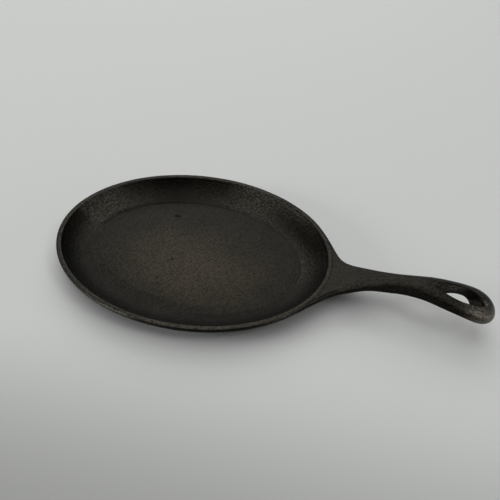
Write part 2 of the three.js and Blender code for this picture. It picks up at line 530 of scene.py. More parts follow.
@dataclass(frozen=True)
class Relief:
    """The unevenness of a sand casting, always cut into the iron.

    Attributes:
        swell_cell: The spacing of the broad unevenness.
        swell_depth: Its depth.
        swell_seed: What picks its pattern.
        ripple_cell: The spacing of the fine unevenness.
        ripple_depth: Its depth.
        ripple_seed: What picks its pattern.
        pits: The floor's pits.
        pit_band: How near the floor's height a point has to be to lie in a pit.
    """

    swell_cell: float = 15.0 * MM
    swell_depth: float = 0.16 * MM
    swell_seed: int = 3
    ripple_cell: float = 4.2 * MM
    ripple_depth: float = 0.07 * MM
    ripple_seed: int = 7
    pits: tuple[Pit, ...] = (
        Pit(-36.1 * MM, 41.9 * MM, 3.4 * MM, 1.7 * MM, 0.75 * MM),
        Pit(-14.9 * MM, -15.0 * MM, 1.5 * MM, 1.3 * MM, 0.4 * MM),
        Pit(-17.4 * MM, -39.6 * MM, 1.3 * MM, 1.2 * MM, 0.4 * MM),
        Pit(-13.3 * MM, -45.7 * MM, 1.2 * MM, 1.0 * MM, 0.3 * MM),
    )
    pit_band: float = 1.5 * MM

    def depth(self, points: Array) -> Array:
        """How deep the swell and the ripple cut at each point."""
        swell = lattice_noise(points, self.swell_cell, self.swell_seed) * self.swell_depth
        return swell + lattice_noise(points, self.ripple_cell, self.ripple_seed) * self.ripple_depth

    def pit_share(self, points: Array, top: float) -> tuple[Array, Array]:
        """How much of each point lies in a pit, and how deep it goes.

        A pit is a flat-topped bell, exp(-2 r^4), over its two half sizes.

        Args:
            points: One point a row.
            top: The floor's height.

        Returns:
            The share from 0 to 1, and the depth.
        """
        share, depth = np.zeros(len(points)), np.zeros(len(points))
        near = np.abs(points[:, 2] - top) < self.pit_band
        for pit in self.pits:
            along, across = (points[:, 0] - pit.x) / pit.half_x, (points[:, 1] - pit.y) / pit.half_y
            hollow = np.exp(-2.0 * (along**2 + across**2) ** 2) * near
            share = np.maximum(share, hollow)
            depth += hollow * pit.depth
        return share, depth


class Casting:
    """One skin of iron, gathered from patches and parted into its regions."""

    def __init__(self) -> None:
        """Start an empty casting."""
        self.patches: list[tuple[Region, Patch]] = []
        self.points = np.zeros((0, 3))
        self.marks: dict[Mark, Array] = {}
        self.faces = np.zeros((0, 3), int)
        self.shown = np.zeros(0, bool)
        self.owner = np.zeros(0, int)

    def add(self, region: Region, *patches: Patch) -> None:
        """Add patches to a region."""
        self.patches += [(region, patch) for patch in patches]

    def add_pair(self, region: Region, *patches: Patch) -> None:
        """Add patches of one side of the handle and their mirrored fellows."""
        self.add(region, *patches, *(patch.mirrored() for patch in patches))

    def weld(self) -> None:
        """Join the patches into one skin, without the faces that have shrunk to a line."""
        points = np.concatenate([patch.points.reshape(-1, 3) for _, patch in self.patches])
        keys = np.round(points / WELD).astype(np.int64)
        _, first, index = np.unique(keys, axis=0, return_index=True, return_inverse=True)
        index = index.reshape(-1)
        self.points = points[first]
        self.marks = {mark: np.zeros(len(first)) for mark in Mark}
        faces: list[Array] = []
        shown: list[Array] = []
        owner: list[Array] = []
        start = 0
        for region, patch in self.patches:
            rows, columns, _ = patch.points.shape
            grid = index[start : start + rows * columns].reshape(rows, columns)
            start += rows * columns
            for mark, values in patch.marks.items():
                spread = np.broadcast_to(values, grid.shape).ravel()
                np.maximum.at(self.marks[mark], grid.ravel(), spread)
            cells = [grid[:-1, :-1], grid[1:, :-1], grid[1:, 1:], grid[:-1, 1:]]
            quads = np.stack(cells[::-1] if patch.flip else cells, -1).reshape(-1, 4)
            seen = np.broadcast_to(patch.shown, (rows - 1, columns - 1)).ravel()
            faces += [quads[:, [0, 1, 2]], quads[:, [0, 2, 3]]]
            shown += [seen, seen]
            owner += [np.full(len(quads) * 2, list(Region).index(region))]
        joined = np.concatenate(faces)
        whole = (joined != np.roll(joined, 1, axis=1)).all(axis=1)
        self.faces = joined[whole]
        self.shown = np.concatenate(shown)[whole]
        self.owner = np.concatenate(owner)[whole]

    def carve(self, relief: Relief, floor_top: float) -> None:
        """Cut the unevenness into the skin, and darken the pits with grime and painted shade.

        Args:
            relief: The unevenness.
            floor_top: The height of the dish's floor, which has the pits.
        """
        share, pit_depth = relief.pit_share(self.points, floor_top)
        self.marks[Mark.SOOT_AND_SHADE] = np.maximum(self.marks[Mark.SOOT_AND_SHADE], share)
        depth = relief.depth(self.points) + pit_depth
        self.points = self.points - self.normals() * depth[:, None]

    def face_normals(self) -> Array:
        """Normals of the faces, as long as twice their areas."""
        corners = self.points[self.faces]
        return np.cross(corners[:, 1] - corners[:, 0], corners[:, 2] - corners[:, 0])

    def normals(self) -> Array:
        """Smooth normals of the shown skin, the summed normals of the faces around a point.

        Returns:
            One normal a point, 0 where nothing shows.
        """
        faces = self.faces[self.shown]
        lean = np.repeat(self.face_normals()[self.shown], 3, axis=0)
        count = len(self.points)
        total = [np.bincount(faces.ravel(), lean[:, axis], minlength=count) for axis in range(3)]
        summed = np.stack(total, -1)
        length = np.linalg.norm(summed, axis=1, keepdims=True)
        return np.divide(summed, length, out=np.zeros_like(summed), where=length > 0)

    def mesh(self, region: Region) -> bpy.types.Mesh:
        """Make one region's mesh, shaded as a part of the whole skin.

        Args:
            region: The region.

        Returns:
            The mesh, with the marks as its attributes.
        """
        mine = self.owner == list(Region).index(region)
        faces, shown = self.faces[mine], self.shown[mine]
        used, local = np.unique(faces, return_inverse=True)
        local = local.reshape(-1)
        mesh = bpy.data.meshes.new(f"casting_{region.value}")
        mesh.vertices.add(len(used))
        mesh.vertices.foreach_set("co", self.points[used].ravel())
        mesh.loops.add(len(local))
        mesh.loops.foreach_set("vertex_index", local.astype(np.int32))
        mesh.polygons.add(len(faces))
        mesh.polygons.foreach_set("loop_start", np.arange(0, len(local), 3, dtype=np.int32))
        for mark, values in self.marks.items():
            layer = mesh.attributes.new(mark.value, "FLOAT", "POINT")
            layer.data.foreach_set("value", values[used].astype(np.float32))
        mesh.update(calc_edges=True)
        mesh.validate()
        mesh.shade_smooth()
        flat = self.face_normals()[mine]
        flat /= np.linalg.norm(flat, axis=1, keepdims=True)
        smooth = self.normals()[faces]
        loops = np.where(shown[:, None, None], smooth, flat[:, None, :]).reshape(-1, 3)
        mesh.normals_split_custom_set(loops.tolist())
        return mesh

    def piece(self, region: Region, material: bpy.types.Material) -> bpy.types.Object:
        """Make one region's object.

        Args:
            region: The region.
            material: Its material.

        Returns:
            The object, riding on the frame.
        """
        mesh = self.mesh(region)
        mesh.materials.append(material)
        piece = bpy.data.objects.new(f"iron_{region.value}", mesh)
        bpy.context.scene.collection.objects.link(piece)
        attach(piece, "root")
        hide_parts(region.value)
        return piece


class Stretch(Enum):
    """Stretches of the dish's profile, from the floor over the rim to the base."""

    FLOOR_EDGE = "floor_edge"
    INNER_WALL = "inner_wall"
    RIM_INSIDE = "rim_inside"
    RIM_OUTSIDE = "rim_outside"
    OUTER_WALL = "outer_wall"
    BASE_EDGE = "base_edge"


@dataclass(frozen=True)
class Rows:
    """Rows of the dish's profile.

    Attributes:
        inset: How far inside the rim's outside.
        height: The height.
        lean: How steep the profile is there, below 0 where it falls towards the outside.
        wear_and_highlight: How much the outward edges there are abraded; in the bright arcs the dish raises
            this into painted highlights.
        soot_and_shade: How much the inward creases there have gathered, grime together with painted shade.
    """

    inset: Array
    height: Array
    lean: Array
    wear_and_highlight: Array
    soot_and_shade: Array


class DishProfile:
    """The dish's profile with every edge rounded.

    The sharp profile is walked in even steps, and each place is averaged with its
    neighbours along the path under a bell curve, a wider one where the floor turns up.
    """

    # The walk's step, and how many reaches of the bell curve are averaged.
    STEP = 0.02 * MM
    LEAST_STEPS = 4
    WALL_POINTS = 401
    BELL_REACHES = 4
    # The longest row, and the most that the profile turns in one.
    ROW_LENGTH = 0.8 * MM
    ROW_TURN = math.radians(9.0)
    # The bends that are abraded or filled with grime and painted shade, and the line of grime and painted
    # shade where the floor turns up.
    WEAR_BEND = 3.2 / MM
    SOOT_AND_SHADE_BEND = 0.11 / MM
    SOOT_AND_SHADE_SPARED = 0.25
    CREASE_LINE = 2.2 * MM

    def __init__(self, size: DishSize) -> None:
        """Work out the rounded profile.

        Args:
            size: The dish's sizes.
        """
        self.size = size
        self.stops: dict[Stretch, tuple[int, int]] = {}
        paths = self.sharp()
        pieces: list[Array] = []
        count = 0
        for stretch, path in paths.items():
            length = np.linalg.norm(np.diff(path, axis=0), axis=1).sum()
            steps = max(self.LEAST_STEPS, round(length / self.STEP))
            pieces.append(by_length(path, np.linspace(0.0, 1.0, steps + 1))[:-1])
            self.stops[stretch] = (count, count + steps)
            count += steps
        pieces.append(paths[Stretch.BASE_EDGE][-1:])
        sharp = np.concatenate(pieces)
        near = bell(self.from_crease(np.arange(len(sharp))) / size.crease_reach)[:, None]
        fine, broad = self.soften(sharp, size.edge_softness), self.soften(sharp, size.crease_softness)
        self.places = lerp(fine, broad, near)
        climb, run = np.gradient(self.places[:, 1]), -np.gradient(self.places[:, 0])
        self.lean = np.unwrap(np.arctan2(climb, run))
        self.bend = np.gradient(self.lean) / self.STEP

    def from_crease(self, index: Array) -> Array:
        """The length along the profile from where the floor turns up to numbered places."""
        return (index - self.stops[Stretch.INNER_WALL][0]) * self.STEP

    def sharp(self) -> dict[Stretch, Array]:
        """The profile before rounding.

        Returns:
            A path of insets and heights for each stretch, in order.
        """
        size = self.size
        top = size.height
        far_inset = size.floor_inset + size.margin
        inner_foot = (size.rim_top + size.rim_run, size.rim_foot)
        inner = self.wall(inner_foot, (size.floor_inset, size.floor_thickness), size.inner_bend)
        outer = self.wall((0.0, size.rim_foot), (size.floor_inset, 0.0), size.outer_bend)
        return {
            Stretch.FLOOR_EDGE: np.array([(far_inset, size.floor_thickness), inner[-1]]),
            Stretch.INNER_WALL: inner[::-1],
            Stretch.RIM_INSIDE: np.array([inner_foot, (size.rim_top, top), (size.seat_top, top)]),
            Stretch.RIM_OUTSIDE: np.array([(size.seat_top, top), (0.0, top), (0.0, size.rim_foot)]),
            Stretch.OUTER_WALL: outer,
            Stretch.BASE_EDGE: np.array([(size.floor_inset, 0.0), (far_inset, 0.0)]),
        }

    def wall(self, top: Pair, foot: Pair, bend: Pair) -> Array:
        """The hollow curve of the wall, a quadratic Bezier curve.

        Args:
            top: Its upper end, an inset and a height.
            foot: Its lower end.
            bend: Its control point, as shares of the way from top to foot.

        Returns:
            The curve's points.
        """
        control = (lerp(top[0], foot[0], bend[0]), lerp(top[1], foot[1], bend[1]))
        return bezier([top, control, foot], np.linspace(0.0, 1.0, self.WALL_POINTS))

    def soften(self, path: Array, softness: float) -> Array:
        """Average each place with its neighbours under a bell curve.

        Args:
            path: Evenly spaced places.
            softness: The bell curve's reach.

        Returns:
            As many places, with the edges rounded.
        """
        reach = round(self.BELL_REACHES * softness / self.STEP)
        weight = bell(np.arange(-reach, reach + 1) * self.STEP / softness)
        weight /= weight.sum()
        before = 2 * path[0] - path[reach:0:-1]
        after = 2 * path[-1] - path[-2 : -reach - 2 : -1]
        longer = np.concatenate([before, path, after])
        return np.stack([np.convolve(longer[:, axis], weight, "valid") for axis in range(2)], -1)

    def rows(self, stretch: Stretch) -> Rows:
        """Pick rows of points along a stretch, closer where the profile bends.

        Args:
            stretch: The stretch.

        Returns:
            The rows, with both ends of the stretch among them.
        """
        start, end = self.stops[stretch]
        places = np.arange(start, end + 1)
        turn = np.abs(self.bend[places]) * self.STEP / self.ROW_TURN
        weight = np.cumsum(self.STEP / self.ROW_LENGTH + turn)
        weight -= weight[0]
        count = max(2, math.ceil(weight[-1]))
        chosen = np.searchsorted(weight, np.linspace(0, weight[-1], count + 1)[:-1])
        picked = np.unique(np.append(places[chosen], end))
        bend = self.bend[picked]
        line = bell(self.from_crease(picked) / self.CREASE_LINE)
        return Rows(
            inset=self.places[picked, 0],
            height=self.places[picked, 1],
            lean=self.lean[picked],
            wear_and_highlight=np.clip(-bend / self.WEAR_BEND, 0.0, 1.0),
            soot_and_shade=np.clip(bend / self.SOOT_AND_SHADE_BEND - self.SOOT_AND_SHADE_SPARED, line, 1.0),
        )


@dataclass(frozen=True)
class Arc:
    """A part of the way around the oval, as a bell curve over the angle.

    Attributes:
        middle: Its middle in degrees, counted from the handle.
        reach: The bell curve's reach in degrees.
        clean: How much less grime and painted shade its middle has, with painted highlights, below 0 where
            it has more grime and painted shade than the rest.
    """

    middle: float
    reach: float
    clean: float = 1.0


@dataclass(frozen=True)
class Dressing:
    """How a ring of the dish is dressed.

    Attributes:
        grain: How coarse the surface is.
        soot_and_shading: How much grime and painted shade it has where it is steep.
        level_soot_and_shading: How much grime and painted shade it has where it is level.
        wear_and_highlight: How much abrasion and painted highlight it has where it is level.
        edge_wear_and_highlight: How much more abrasion and painted highlight its edges have in the bright
            arcs.
        arcs: The parts with less grime and painted shade and more painted highlight than the rest, and
            those with more grime and painted shade.
    """

    grain: float = 1.0
    soot_and_shading: float = 0.0
    level_soot_and_shading: float = 0.0
    wear_and_highlight: float = 0.0
    edge_wear_and_highlight: float = 0.0
    arcs: tuple[Arc, ...] = ()


class Dish:
    """The oval dish: floor, wall and rim."""

    # Steps around the oval, rows of the two discs, and the steps that the handle's seat takes.
    STEPS = 360
    FLOOR_ROWS = 96
    BASE_ROWS = 26
    SEAT_STEPS = 32

    # Up to what lean the profile is level, and from where it slopes and is steep.
    LEVEL = math.radians(8.0)
    SLOPE = math.radians(22.0)
    STEEP = math.radians(42.0)

    # The floor's paler middle, and the grain of the dish, its grime and painted shade, and its abrasion and
    # painted highlights.
    BAKED_MIDDLE = (-6.0 * MM, -17.0 * MM)
    BAKED_REACH = 0.55
    FLOOR_GRAIN = 0.5
    # The floor darkens towards its edge.
    FLOOR_DARKENING = 0.38
    FLOOR_DARKENING_BAND = (0.3, 1.0)
    # The steep inner wall is darkened: grime together with painted shade and painted dark reflections.
    WALL_SOOT_AND_SHADE = 0.52
    # The rim's outside and the outer wall are painted dark: painted shade and painted dark reflections.
    OUTSIDE_PAINTED_SHADE = 1.0
    RIM_GRAIN = 0.75
    # The rim's top is painted lighter: abrasion together with a painted highlight.
    RIM_WEAR_AND_HIGHLIGHT = 0.17
    RIM_EDGE_WEAR_AND_HIGHLIGHT = 4.0

    # In the middle of a bright arc the iron is painted lighter with highlights and glints, and made
    # coarser.
    ARC_GLINT_POWER = 4
    ARC_GLINT = 0.28
    ARC_GLINT_GRAIN = 1.8
    # The crease's line of grime and painted shade, strongest in the far arc.
    CREASE_LEAST = 0.1
    CREASE_ARC = Arc(130.0, 38.0)
    # The near arc where the rim's top is abraded and painted lighter as a highlight.
    WORN_AND_LIT_ARC = Arc(270.0, 75.0)
    # Arcs of the rim's outer edge with painted highlights.
    RIM_ARCS = (Arc(257.0, 11.0), Arc(328.0, 9.0, 0.7), Arc(120.0, 60.0))
    # Bright arcs of the wall carry painted highlights and glints; arcs below 0 carry more painted shade.
    WALL_ARCS = (
        Arc(75.0, 21.0),
        Arc(155.0, 15.0),
        Arc(171.0, 10.0, 0.8),
        Arc(8.0, 17.0, 0.85),
        Arc(207.0, 23.0, -0.8),
        Arc(312.0, 22.0, -0.8),
        Arc(118.0, 14.0, -0.9),
    )
    DRESSINGS = {
        Stretch.FLOOR_EDGE: Dressing(FLOOR_GRAIN, level_soot_and_shading=FLOOR_DARKENING),
        Stretch.INNER_WALL: Dressing(soot_and_shading=WALL_SOOT_AND_SHADE, level_soot_and_shading=FLOOR_DARKENING, arcs=WALL_ARCS),
        Stretch.RIM_INSIDE: Dressing(RIM_GRAIN, WALL_SOOT_AND_SHADE, wear_and_highlight=RIM_WEAR_AND_HIGHLIGHT, arcs=WALL_ARCS),
        Stretch.RIM_OUTSIDE: Dressing(
            RIM_GRAIN, OUTSIDE_PAINTED_SHADE, wear_and_highlight=RIM_WEAR_AND_HIGHLIGHT, edge_wear_and_highlight=RIM_EDGE_WEAR_AND_HIGHLIGHT, arcs=RIM_ARCS
        ),
        Stretch.OUTER_WALL: Dressing(soot_and_shading=OUTSIDE_PAINTED_SHADE, level_soot_and_shading=OUTSIDE_PAINTED_SHADE),
        Stretch.BASE_EDGE: Dressing(),
    }

    def __init__(self, size: DishSize) -> None:
        """Set up the dish.

        Args:
            size: Its sizes.
        """
        self.size = size
        profile = DishProfile(size)
        self.rows = {stretch: profile.rows(stretch) for stretch in Stretch}
        self.turn = np.linspace(0.0, 2.0 * math.pi, self.STEPS + 1)

    def ring(self, inset: Array, height: Array, share: Array | float = 1.0) -> Array:
        """Carry rows around the oval.

        A row of inset g, height h and share s is (s(A-g) cos t, s(B-g) sin t, h), with A and B
        half the rim's length and width.

        Args:
            inset: The rows' insets.
            height: The rows' heights.
            share: How far out from the middle the rows lie.

        Returns:
            Rows by columns by 3.
        """
        along = (share * (self.size.semi_length - inset))[:, None] * np.cos(self.turn)
        across = (share * (self.size.semi_width - inset))[:, None] * np.sin(self.turn)
        return np.stack([along, across, np.broadcast_to(height[:, None], along.shape)], -1)

    def disc(self, inset: float, height: float, rows: int) -> Array:
        """Rows of ovals that shrink to the middle, the first of them the middle itself.

        Args:
            inset: The outermost oval's inset.
            height: The disc's height.
            rows: How many steps from the middle.

        Returns:
            Rows by columns by 3.
        """
        share = np.linspace(0.0, 1.0, rows + 1)
        return self.ring(np.full_like(share, inset), np.full_like(share, height), share)

    def joint(self, first: Stretch, last: Stretch) -> Patch:
        """The hidden face where two regions meet, straight between two stretches.

        Args:
            first: The stretch whose end it starts from.
            last: The stretch whose start it ends at.

        Returns:
            The face, two rows of it.
        """
        start, end = self.rows[first], self.rows[last]
        inset = np.array([start.inset[-1], end.inset[0]])
        return Patch(self.ring(inset, np.array([start.height[-1], end.height[0]])), False)

    def clean(self, *arcs: Arc) -> Array:
        """How much the arcs count around the oval, a sum of bell curves over the angle; on the wall and
        rim, how free the ring is of grime and painted shade.

        Args:
            arcs: The arcs that count up, and those that count down.

        Returns:
            The share for each column, from -1 where the arcs count down most to 1 where they count up most.
        """
        total = np.zeros(len(self.turn))
        for arc in arcs:
            away = (np.degrees(self.turn) - arc.middle + 180.0) % 360.0 - 180.0
            total += arc.clean * bell(away / arc.reach)
        return np.clip(total, -1.0, 1.0)

    def skin(self, stretch: Stretch) -> Patch:
        """A shown ring, dressed by how steep it is and by the arcs around it, with painted shade and
        painted highlights.

        Grime and painted shade go from the level amount to the steep one by smoothstep of the lean, times 1
        less the arcs' share. Edges are abraded by their bend, more so and with painted highlights in the
        bright arcs, and level places are abraded and painted lighter in the near arc.

        Args:
            stretch: The stretch of the profile that is carried around.

        Returns:
            The ring, with the handle's seat not shown.
        """
        rows, dressing = self.rows[stretch], self.DRESSINGS[stretch]
        points = self.ring(rows.inset, rows.height)
        shown = np.ones(self.STEPS, bool)
        if stretch is Stretch.RIM_OUTSIDE:
            shown[: self.SEAT_STEPS] = False
            shown[-self.SEAT_STEPS :] = False
        lean = rows.lean[:, None]
        clean = self.clean(*dressing.arcs)
        bare_and_glint = np.maximum(clean, 0.0) ** self.ARC_GLINT_POWER
        rising = smoothstep(lean, self.SLOPE, self.STEEP)
        falling = smoothstep(-lean, self.LEVEL, self.SLOPE)
        darkening = lerp(dressing.level_soot_and_shading, dressing.soot_and_shading, np.maximum(rising, falling)) * (1.0 - clean)
        level = 1.0 - smoothstep(np.abs(lean), self.LEVEL, self.SLOPE)
        worn_and_lit = np.maximum(dressing.wear_and_highlight * level * self.clean(self.WORN_AND_LIT_ARC), self.ARC_GLINT * bare_and_glint)
        edges = np.minimum(rows.wear_and_highlight[:, None] * (1.0 + dressing.edge_wear_and_highlight * bare_and_glint), 1.0)
        # Grime and painted shade in the crease, strongest in the far arc.
        gathered = rows.soot_and_shade[:, None] * lerp(self.CREASE_LEAST, 1.0, self.clean(self.CREASE_ARC))
        marks = {
            Mark.WEAR_AND_HIGHLIGHT: np.maximum(edges, worn_and_lit),
            Mark.SOOT_AND_SHADE: np.maximum(gathered, np.minimum(darkening, 1.0)),
            Mark.GRAIN: dressing.grain * (1.0 + self.ARC_GLINT_GRAIN * bare_and_glint),
        }
        return Patch(points, np.broadcast_to(shown, (len(points) - 1, self.STEPS)), marks)

    def floor(self) -> Patch:
        """The floor inside its outer band, baked paler in the middle and darker towards its edge.

        Returns:
            The floor, with the middle's bell curve over the distance in half sizes.
        """
        edge = self.rows[Stretch.FLOOR_EDGE]
        points = self.disc(edge.inset[0], edge.height[0], self.FLOOR_ROWS)
        half = np.array([self.size.semi_length, self.size.semi_width]) - edge.inset[0]
        out = np.linalg.norm((points[..., :2] - np.array(self.BAKED_MIDDLE)) / half, axis=-1)
        marks = {
            Mark.GRAIN: np.full((1, 1), self.FLOOR_GRAIN),
            Mark.BAKED: bell(out / self.BAKED_REACH),
            Mark.SOOT_AND_SHADE: self.FLOOR_DARKENING * smoothstep(out, *self.FLOOR_DARKENING_BAND),
        }
        return Patch(points, True, marks)

    def base(self) -> Patch:
        """The base inside its outer band.

        Returns:
            The base, facing down.
        """
        edge = self.rows[Stretch.BASE_EDGE]
        points = self.disc(edge.inset[-1], edge.height[-1], self.BASE_ROWS)[::-1]
        return Patch(points, True, {Mark.GRAIN: np.ones((1, 1))})

    def build(self, casting: Casting) -> None:
        """Add the dish's three regions to the casting.

        Args:
            casting: The casting.
        """
        casting.add(
            Region.FLOOR,
            self.floor(),
            self.skin(Stretch.FLOOR_EDGE),
            self.joint(Stretch.FLOOR_EDGE, Stretch.BASE_EDGE),
            self.skin(Stretch.BASE_EDGE),
            self.base(),
        )
        casting.add(
            Region.WALL,
            self.skin(Stretch.INNER_WALL),
            self.joint(Stretch.INNER_WALL, Stretch.OUTER_WALL),
            self.skin(Stretch.OUTER_WALL),
            self.joint(Stretch.OUTER_WALL, Stretch.INNER_WALL),
        )
        casting.add(
            Region.RIM,
            self.skin(Stretch.RIM_INSIDE),
            self.skin(Stretch.RIM_OUTSIDE),
            self.joint(Stretch.RIM_OUTSIDE, Stretch.RIM_INSIDE),
        )
        LOG.info("dish: floor %.1f mm thick", self.size.floor_thickness / MM)


class Handle:
    """The arched handle: flared root, shank and hanging eye."""

    # Rows of the skin. The hole's foot has its point at the row APEX_ROWS of the bar.
    ROOT_ROWS = 30
    SHANK_ROWS = 40
    LEAD_ROWS = 6
    BAR_ROWS = 76
    APEX_ROWS = 17
    APEX_SHARE = APEX_ROWS / BAR_ROWS
    HOLE_COLUMNS = 14
    # The section's angle at the seat's corners, and the share of the bar by which the columns
    # have left the section's angles for a spread by a power, closer at the hole's edge.
    CORNER = math.pi / 5.5
    EVEN_BY = 0.16
    EVEN_POWER = 1.6

    # The radius of the hole's edge, and the shares of the bar in which it grows.
    HOLE_EDGE_AT_POINT = 0.8 * MM
    HOLE_EDGE_AT_END = 4.2 * MM
    HOLE_EDGE_BELOW = 0.5 * MM
    HOLE_EDGE_BAND = (0.62, 1.0)
    HOLE_EDGE_RISE = (0.0, 0.1)
    HOLE_EDGE_RISE_BELOW = (APEX_SHARE, APEX_SHARE + 0.15)

    # Painted shade below; a painted highlight on the hole's wall towards its point and painted shade deeper
    # in; and the nose abraded and painted with a highlight, brighter on the near side.
    GRAIN = 1.2
    UNDER_PAINTED_SHADE = 0.97
    UNDER_BAND = (-0.5, 0.15)
    HOLE_PAINTED_SHADE = 0.35
    HOLE_LIGHT_CLIMB = (0.2, 0.8)
    HOLE_LIGHT_END = (0.4, 0.75)
    NOSE_BAND = (224.0 * MM, 243.0 * MM)
    NOSE_ACROSS = (-6.0 * MM, 6.0 * MM)
    NOSE_AROUND = (-0.6, -0.1)
    NOSE_WEAR_AND_HIGHLIGHT = 1.0
    NOSE_WEAR_AND_HIGHLIGHT_FAR = 0.15
    NOSE_SHADE_LIFT = 0.85

    def __init__(self, size: HandleSize, dish: Dish) -> None:
        """Set up the handle.

        Args:
            size: Its sizes.
            dish: The dish that its root grows from.
        """
        self.size = size
        self.dish = dish
        rows = dish.rows[Stretch.RIM_OUTSIDE]
        self.seat = dish.ring(rows.inset, rows.height)[:, : dish.SEAT_STEPS + 1]
        self.seat_inset = rows.inset
        self.angles = self.half_angles()

    def half_angles(self) -> Array:
        """Angles around half a section.

        Returns:
            As many angles as the seat's edge has places, from the top over the side to the foot.
        """
        steps = self.dish.SEAT_STEPS
        top = np.linspace(math.pi / 2, self.CORNER, steps + 1)
        side = np.linspace(self.CORNER, -self.CORNER, len(self.seat))[1:]
        foot = np.linspace(-self.CORNER, -math.pi / 2, steps + 1)[1:]
        return np.concatenate([top, side, foot])

    def around_seat(self, values: Array) -> Array:
        """Values of the seat's grid along its edge: its top, its side and its foot."""
        return np.concatenate([values[0], values[1:, -1], values[-1, -2::-1]])

    def root(self) -> Array:
        """The flare's skin, a cubic Bezier curve from each place on the seat's edge.

        It leaves the rim level, straight out in the middle and along the rim at the sides, and
        settles along the handle's first section.

        Returns:
            Rows by columns by 3.
        """
        size, dish = self.size, self.dish.size
        turn = np.broadcast_to(self.dish.turn[: self.dish.SEAT_STEPS + 1], self.seat.shape[:2])
        inset = np.broadcast_to(self.seat_inset[:, None], turn.shape)
        outward = (dish.semi_width - inset) * np.cos(turn)
        aside = (dish.semi_length - inset) * np.sin(turn)
        out = np.stack([outward, aside, np.zeros_like(turn)], -1)
        out = self.around_seat(out / np.linalg.norm(out, axis=-1, keepdims=True))
        start = self.around_seat(self.seat)
        edge = self.around_seat(turn / turn[0, -1])[:, None] ** 3
        end = size.section(size.root_end, self.angles)
        third = (end[:, :1] - start[:, :1]) / 3
        across = (end[:, 1:2] - start[:, 1:2]) / 3
        straight = np.concatenate([third, across, np.zeros_like(third)], 1)
        along = np.stack([out[:, 1], -out[:, 0], np.zeros(len(out))], -1) * size.flare_pull
        drift = (size.section(size.root_end + MM, self.angles) - end) / MM
        first = start + lerp(straight, along, edge)
        last = end - drift * lerp(third, size.flare_settle, edge)
        share = np.linspace(0.0, 1.0, self.ROOT_ROWS + 1)[:, None, None]
        rest = 1.0 - share
        ends = rest**3 * start + share**3 * end
        return ends + 3 * rest**2 * share * first + 3 * rest * share**2 * last

    def stretch(self, start: float, end: float, rows: int) -> Array:
        """The handle's skin between two places, section by section.

        Args:
            start: Where it starts.
            end: Where it ends.
            rows: How many steps.

        Returns:
            Rows by columns by 3.
        """
        return self.size.section(np.linspace(start, end, rows + 1)[:, None], self.angles)

    def cut(self, x: float) -> Array:
        """Half of a flat hidden face across the handle, from its middle to its edge.

        Args:
            x: Where it is along the handle.

        Returns:
            Two rows by columns by 3.
        """
        loop = self.size.section(x, self.angles)
        centre = np.array([x, 0.0, float(self.size.level(np.array(x)))])
        return np.stack([np.broadcast_to(centre, loop.shape), loop])

    def foot_line(self, share: Array, apex: Array) -> Array:
        """Where the bar's underside ends: along the middle plane, then along the hole's foot.

        Args:
            share: Shares of the way along the bar.
            apex: Shares of the way to the point of the hole's foot.

        Returns:
            Points in plan.
        """
        foot = self.size.hole_foot
        line = foot.outline(np.maximum(0.0, share - self.APEX_SHARE) / (1 - self.APEX_SHARE))
        straight = lerp(self.size.hole_top.point, foot.point, apex)
        line[:, 0] = np.where(apex < 1.0, straight, line[:, 0])
        return line

    def bar(self) -> tuple[Array, Array]:
        """One of the eye's two bars: its skin, and the hole's wall.

        A row of the skin runs from the hole's edge to the handle's outline and back below it,
        by cos^r of an angle. It lies on the handle's own skin, and a quarter circle rounds the
        hole's edge.

        Returns:
            The skin and the wall, each rows by columns by 3.
        """
        size = self.size
        start = size.hole_top.point
        share = np.linspace(0.0, 1.0, self.BAR_ROWS + 1)
        apex = np.clip(np.arange(self.BAR_ROWS + 1) / self.APEX_ROWS, 0.0, 1.0)
        above, below = size.hole_top.outline(share)[:, None], self.foot_line(share, apex)[:, None]
        outside = size.outline(share)[:, None]

        way = np.linspace(1.0, -1.0, len(self.angles))
        even = np.sign(way) * math.pi / 2 * (1.0 - (1.0 - np.abs(way)) ** self.EVEN_POWER)
        angle = lerp(self.angles, even, smoothstep(share, 0.0, self.EVEN_BY)[:, None])
        top = angle > 0
        across = np.abs(np.cos(angle)) ** size.roundness(np.array(start), top)
        across[:, [0, -1]] = 0.0
        inside = np.where(top[..., None], above, below)
        plan = inside + across[..., None] * (outside - inside)

        widening = smoothstep(share, *self.HOLE_EDGE_BAND)
        edge_top = lerp(self.HOLE_EDGE_AT_POINT, self.HOLE_EDGE_AT_END, widening)
        edge_top = edge_top * smoothstep(share, *self.HOLE_EDGE_RISE)
        edge_foot = self.HOLE_EDGE_BELOW * smoothstep(share, *self.HOLE_EDGE_RISE_BELOW)
        edge = np.where(top, edge_top[:, None], edge_foot[:, None])
        away = across * np.linalg.norm(outside - inside, axis=-1)
        drop = edge - np.sqrt(np.maximum(0.0, edge**2 - np.maximum(0.0, edge - away) ** 2))
        height = size.height(plan, top) - np.where(top, drop, -drop)
        skin = np.concatenate([plan, height[..., None]], -1)
        skin[0] = size.section(start, self.angles)

        lip, sill = skin[:, 0], skin[:, -1].copy()
        ramp = lerp(lip[0, 2], sill[self.APEX_ROWS, 2], apex)
        sill[:, 2] = np.where(apex < 1.0, ramp, sill[:, 2])
        climb = np.linspace(0.0, 1.0, self.HOLE_COLUMNS + 1)[None, :, None]
        return skin, lerp(sill[:, None], lip[:, None], climb)

    def hole_light_and_shade(self, rows: int) -> dict[Mark, Array]:
        """How the hole's wall is dressed: a painted highlight towards its pointed end and its upper edge,
        painted shade elsewhere.

        Args:
            rows: The wall's rows.

        Returns:
            The marks.
        """
        share = np.linspace(0.0, 1.0, rows)[:, None]
        climb = np.linspace(0.0, 1.0, self.HOLE_COLUMNS + 1)
